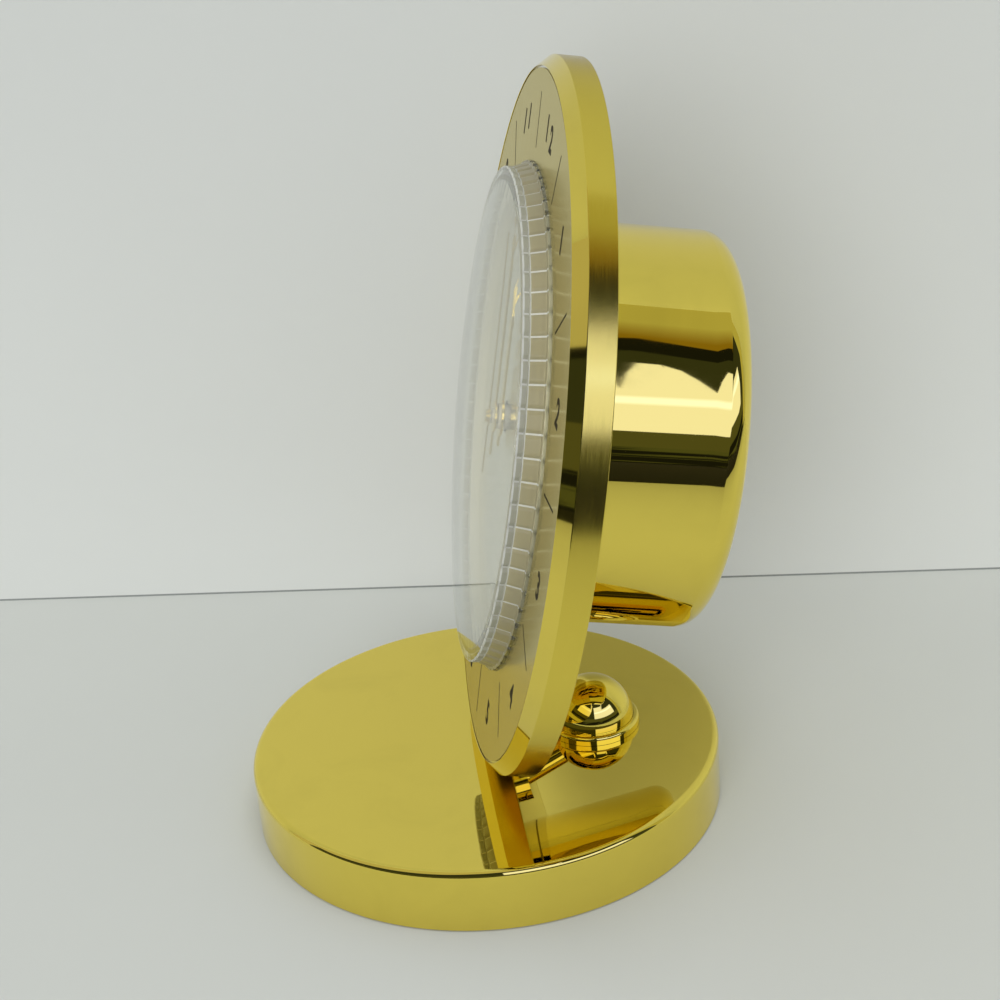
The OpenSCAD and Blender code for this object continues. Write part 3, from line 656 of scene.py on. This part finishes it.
MADE_OF = {
    polished_brass: ["swivel_collar", "swivel_ball", "support_arm", "back_plate"],
    plain_brass: ["cup_ring", "shaft_nut"],
    bright_brass: ["hour_hand", "minute_hand", "second_hand"],
    silvered: ["dial_plate"],
    number_metal: ["number_ring"],
    felt: ["base_pad"],
    weight_steel: ["base_weight"],
    bright_steel: ["pull_stud", "spring_washers", "stud_nut", "arm_screw", "retainer_rivets",
                   "cup_ring_screws", "quartz_can", "motor_stator", "contact_plus", "contact_minus"],
    black_plastic: ["movement_case", "movement_cover", "setting_knob", "dial_spacer"],
    black_rubber: ["shaft_washer"],
    white_plastic: ["train_bridge", "hour_wheel", "cannon_pinion", "minute_wheel", "seconds_wheel",
                    "centre_wheel", "third_wheel", "drive_wheel"],
    beige_plastic: ["crystal_retainer"],
    board_green: ["circuit_board"],
    coil_copper: ["motor_coil"],
    cell_jacket: ["battery"],
    magnet_grey: ["rotor"],
}
for material, names in MADE_OF.items():
    for name in names:
        for slot in frame["nodes"][name].material_slots:
            slot.material = material


# Floor and wall of the stage

def plane(name, corners, material):
    """One flat face of the stage."""
    bm = bmesh.new()
    bm.faces.new([bm.verts.new(corner) for corner in corners])
    mesh = bpy.data.meshes.new(name)
    bm.to_mesh(mesh)
    bm.free()
    mesh.materials.append(material)
    piece = bpy.data.objects.new(name, mesh)
    bpy.context.scene.collection.objects.link(piece)
    return piece


def stage_material(name, colour, shaded_high_colour=None, reflected_dark_beyond=None, one_sided=False):
    """Matt paint, which carries painted light when asked: painted shading that changes its colour with
    height, and a painted reflection that darkens its far part for metal only; a one-sided surface is
    clear from behind."""
    material, tree, shader, place = new_material(name)
    shader.inputs["Roughness"].default_value = 0.9
    shader.inputs["Specular IOR Level"].default_value = 0.1
    shade = add(tree, "ShaderNodeTexNoise", {"Vector": place, "Scale": 9.0, "Detail": 3.0})
    tint = mix_colour(tree, shade.outputs["Fac"], darker(colour, 0.05), rgb(*colour))
    across, _, up = add(tree, "ShaderNodeSeparateXYZ", {0: place}).outputs
    # Painted shading: the colour turns to the high colour between 2 and 25 cm up
    if shaded_high_colour:
        tint = mix_colour(tree, spread(tree, up, 0.02, 0.25), tint, rgb(*shaded_high_colour))
    # Painted reflection: for glossy rays only, the far part darkens out to the given distance and is
    # dark past it
    if reflected_dark_beyond:
        near = spread(tree, across, 0.10, reflected_dark_beyond, 0.0, 0.38)
        far = spread(tree, across, reflected_dark_beyond, reflected_dark_beyond + 0.01, 0.0, 0.62)
        glossy = add(tree, "ShaderNodeLightPath").outputs["Is Glossy Ray"]
        painted_reflection_dark = calc(tree, "MULTIPLY", calc(tree, "ADD", near, far), glossy)
        tint = mix_colour(tree, painted_reflection_dark, tint, rgb(0.01, 0.01, 0.008))
    tree.links.new(tint, shader.inputs["Base Color"])
    if one_sided:
        behind = add(tree, "ShaderNodeNewGeometry").outputs["Backfacing"]
        clear = add(tree, "ShaderNodeBsdfTransparent")
        mixed_surface(tree, behind, shader.outputs[0], clear.outputs[0])
    return material


REACH = 3.0
WALL_HEIGHT = 1.3
FOOT_SHADE_HEIGHT = 0.0005
WALL_FOOT = Vector((-0.0952, 0.0075, 0))
WALL_OUT = Vector((0.984, -0.1785, 0)).normalized()
WALL_ALONG = Vector((-WALL_OUT.y, WALL_OUT.x, 0))
# Painted reflection: metal sees the table darken from 0.10 m and turn dark past 0.42 m along X
floor_paint = stage_material("Pale table", (0.61, 0.63, 0.60), reflected_dark_beyond=0.42)
# Painted shading: the wall is painted darker higher up
wall_paint = stage_material("Pale wall", (0.67, 0.69, 0.67), (0.53, 0.55, 0.535), one_sided=True)
# Painted shade: the dark colour of the strip at the wall's foot
painted_foot_shade = stage_material("Painted shade line", (0.27, 0.29, 0.28), one_sided=True)
plane("floor", [(-REACH, -REACH, 0), (REACH, -REACH, 0), (REACH, REACH, 0), (-REACH, REACH, 0)],
      floor_paint)


def wall_strip(name, height, forward, material):
    """An upright strip that stands on the floor along the wall's foot."""
    left = WALL_FOOT - WALL_ALONG * REACH + WALL_OUT * forward
    right = WALL_FOOT + WALL_ALONG * REACH + WALL_OUT * forward
    up = Vector((0, 0, height))
    plane(name, [left, right, right + up, left + up], material)


wall_strip("wall", WALL_HEIGHT, 0.0, wall_paint)
# Painted shade: a dark strip stands for the shade in the gap where wall meets floor
wall_strip("wall_foot_shade", FOOT_SHADE_HEIGHT, 0.0002, painted_foot_shade)


# World: an even light for matt surfaces, a plain room with a window for metal and glass

def all_of(tree, masks):
    """The product of some masks."""
    result = masks[0]
    for mask in masks[1:]:
        result = calc(tree, "MULTIPLY", result, mask)
    return result


def between(tree, value, low, high, soft):
    """A mask that is 1 between two limits, each a number or a socket, with soft ends."""
    above = calc(tree, "DIVIDE", calc(tree, "SUBTRACT", value, low), soft, clamp=True)
    below = calc(tree, "DIVIDE", calc(tree, "SUBTRACT", high, value), soft, clamp=True)
    return calc(tree, "MULTIPLY", above, below)


def chain(tree, value, points):
    """A value that runs through the points (place, result) in straight steps."""
    result = None
    for (start, first), (end, last) in zip(points, points[1:]):
        step = spread(tree, value, start, end, 0.0, last - first)
        result = calc(tree, "ADD", result if result is not None else points[0][1], step)
    return result


CEILING = rgb(0.51, 0.495, 0.46)
WARM_CORNER = rgb(0.46, 0.45, 0.27)
BROWN_CORNER = rgb(0.25, 0.165, 0.02)
OLIVE = rgb(0.036, 0.042, 0.034)
OLIVE_BELOW = rgb(0.085, 0.090, 0.055)
DARK = rgb(0.010, 0.011, 0.012)
WINDOW = rgb(1.06, 1.12, 2.45)
BRIGHT_SKY = rgb(1.28, 1.48, 4.10)
PALE_ROOM = rgb(0.57, 0.585, 0.56)
EVEN_LIGHT = rgb(0.74, 0.74, 0.74)
OLIVE_STREAK = rgb(0.075, 0.085, 0.050)
MANY_BOUNCES = 4.5

# The window's upper edge in degrees, over how far the direction points to the back of the clock
WINDOW_TOP = [(0.190, 45.0), (0.198, 36.0), (0.201, 44.0), (0.206, 49.0), (0.219, 48.4),
              (0.230, 46.0), (0.240, 41.6), (0.250, 36.0)]


def world():
    """Paints the room by direction: turn is degrees round from X and height is degrees above
    level."""
    room = bpy.data.worlds.new("Room")
    room.use_nodes = True
    room.cycles.sampling_method = "NONE"
    tree = room.node_tree
    background = tree.nodes["Background"]
    direction = add(tree, "ShaderNodeTexCoord").outputs["Generated"]
    x, y, z = add(tree, "ShaderNodeSeparateXYZ", {0: direction}).outputs
    height = calc(tree, "DEGREES", calc(tree, "ARCSINE", z))
    turn = calc(tree, "DEGREES", calc(tree, "ARCTAN2", y, x))
    backward = add(tree, "ShaderNodeVectorMath", {0: direction, 1: tuple(head_back)},
                   operation="DOT_PRODUCT").outputs["Value"]

    # A pale ceiling all round, a dark side below it and a warm corner where that ends
    dark_top = calc(tree, "MINIMUM", spread(tree, turn, -85.0, -20.0, 28.0, 60.0),
                    spread(tree, backward, 0.205, 0.255, 60.0, 54.5))
    dark_side = all_of(tree, [between(tree, turn, -92.0, 74.0, 0.5),
                              between(tree, height, -14.0, dark_top, 0.3)])
    warm = between(tree, turn, 30.0, 97.0, 1.5)
    corner = mix_colour(tree, spread(tree, turn, 50.0, 66.0), BROWN_CORNER, WARM_CORNER)
    colour = mix_colour(tree, warm, CEILING, corner)

    # The dark side from its top down: dark edge, olive, paler olive, dark with faint streaks
    level = calc(tree, "DIVIDE", height, dark_top)
    inside = mix_colour(tree, spread(tree, level, 0.905, 0.910), OLIVE, DARK)
    inside = mix_colour(tree, between(tree, height, -20.0, 15.5, 0.3), inside, OLIVE_BELOW)
    inside = mix_colour(tree, between(tree, height, -20.0, 6.5, 0.3), inside, DARK)
    cut = add(tree, "ShaderNodeCombineXYZ", {0: calc(tree, "MULTIPLY", turn, 0.035), 1: 0.0,
                                             2: calc(tree, "MULTIPLY", height, 0.42)}).outputs[0]
    streak = add(tree, "ShaderNodeTexNoise", {"Vector": cut, "Scale": 1.0, "Detail": 3.0})
    streak_on = all_of(tree, [spread(tree, streak.outputs["Fac"], 0.54, 0.58),
                              between(tree, height, -8.5, 8.0, 0.5)])
    inside = mix_colour(tree, streak_on, inside, OLIVE_STREAK)
    colour = mix_colour(tree, dark_side, colour, inside)

    # The window, with brighter sky in its upper part
    top = chain(tree, backward, WINDOW_TOP)
    sky = mix_colour(tree, between(tree, height, 28.0, 33.0, 1.5), WINDOW, BRIGHT_SKY)
    in_window = all_of(tree, [between(tree, turn, 0.0, 62.0, 0.5),
                              between(tree, height, 14.6, top, 0.2)])
    colour = mix_colour(tree, in_window, colour, sky)

    # Matt surfaces get an even light; the camera and the clear acrylic look into a pale room
    rays = add(tree, "ShaderNodeLightPath")
    colour = mix_colour(tree, rays.outputs["Is Diffuse Ray"], colour, EVEN_LIGHT)
    colour = mix_colour(tree, rays.outputs["Is Camera Ray"], colour, PALE_ROOM)
    deep = calc(tree, "GREATER_THAN", rays.outputs["Ray Depth"], MANY_BOUNCES)
    clear = calc(tree, "MAXIMUM", rays.outputs["Is Transmission Ray"], deep)
    colour = mix_colour(tree, clear, colour, PALE_ROOM)
    tree.links.new(colour, background.inputs["Color"])
    bpy.context.scene.world = room


world()


# Lamps

def lamp(name, at, towards, size, power):
    """A round white lamp that shows in no reflection."""
    data = bpy.data.lights.new(name, "AREA")
    data.shape = "DISK"
    data.size = size
    data.energy = power
    light = bpy.data.objects.new(name, data)
    light.location = at
    light.rotation_euler = (Vector(towards) - Vector(at)).to_track_quat("-Z", "Y").to_euler()
    light.visible_glossy = False
    bpy.context.scene.collection.objects.link(light)


lamp("window_side", (2.17, -0.71, 1.02), (0, 0, 0.07), 1.6, 24.5)
lamp("room_above", (0.40, 0.20, 2.20), (0, 0, 0.05), 1.2, 9.0)


# Camera at the photograph's viewing angle

CAMERA_AT = (0.33235, -0.01443, 0.21967)


def camera():
    """Stands the camera where the photograph was taken, leaned a little to one side."""
    yaw, pitch, roll = 3.0961, -0.4267, -0.0934
    forward = Vector((math.cos(pitch) * math.cos(yaw), math.cos(pitch) * math.sin(yaw),
                      math.sin(pitch)))
    level_right = forward.cross(Vector((0, 0, 1))).normalized()
    level_up = level_right.cross(forward)
    right = math.cos(roll) * level_right + math.sin(roll) * level_up
    up = math.cos(roll) * level_up - math.sin(roll) * level_right
    data = bpy.data.cameras.new("Camera")
    data.sensor_width = 36.0
    data.lens = 65.53
    data.shift_x = 0.0343
    data.clip_start = 0.01
    eye = bpy.data.objects.new("Camera", data)
    turn = Matrix((right, up, -forward)).transposed().to_4x4()
    eye.matrix_world = Matrix.Translation(CAMERA_AT) @ turn
    bpy.context.scene.collection.objects.link(eye)
    bpy.context.scene.camera = eye


camera()
bpy.context.scene.view_settings.view_transform = "Standard"
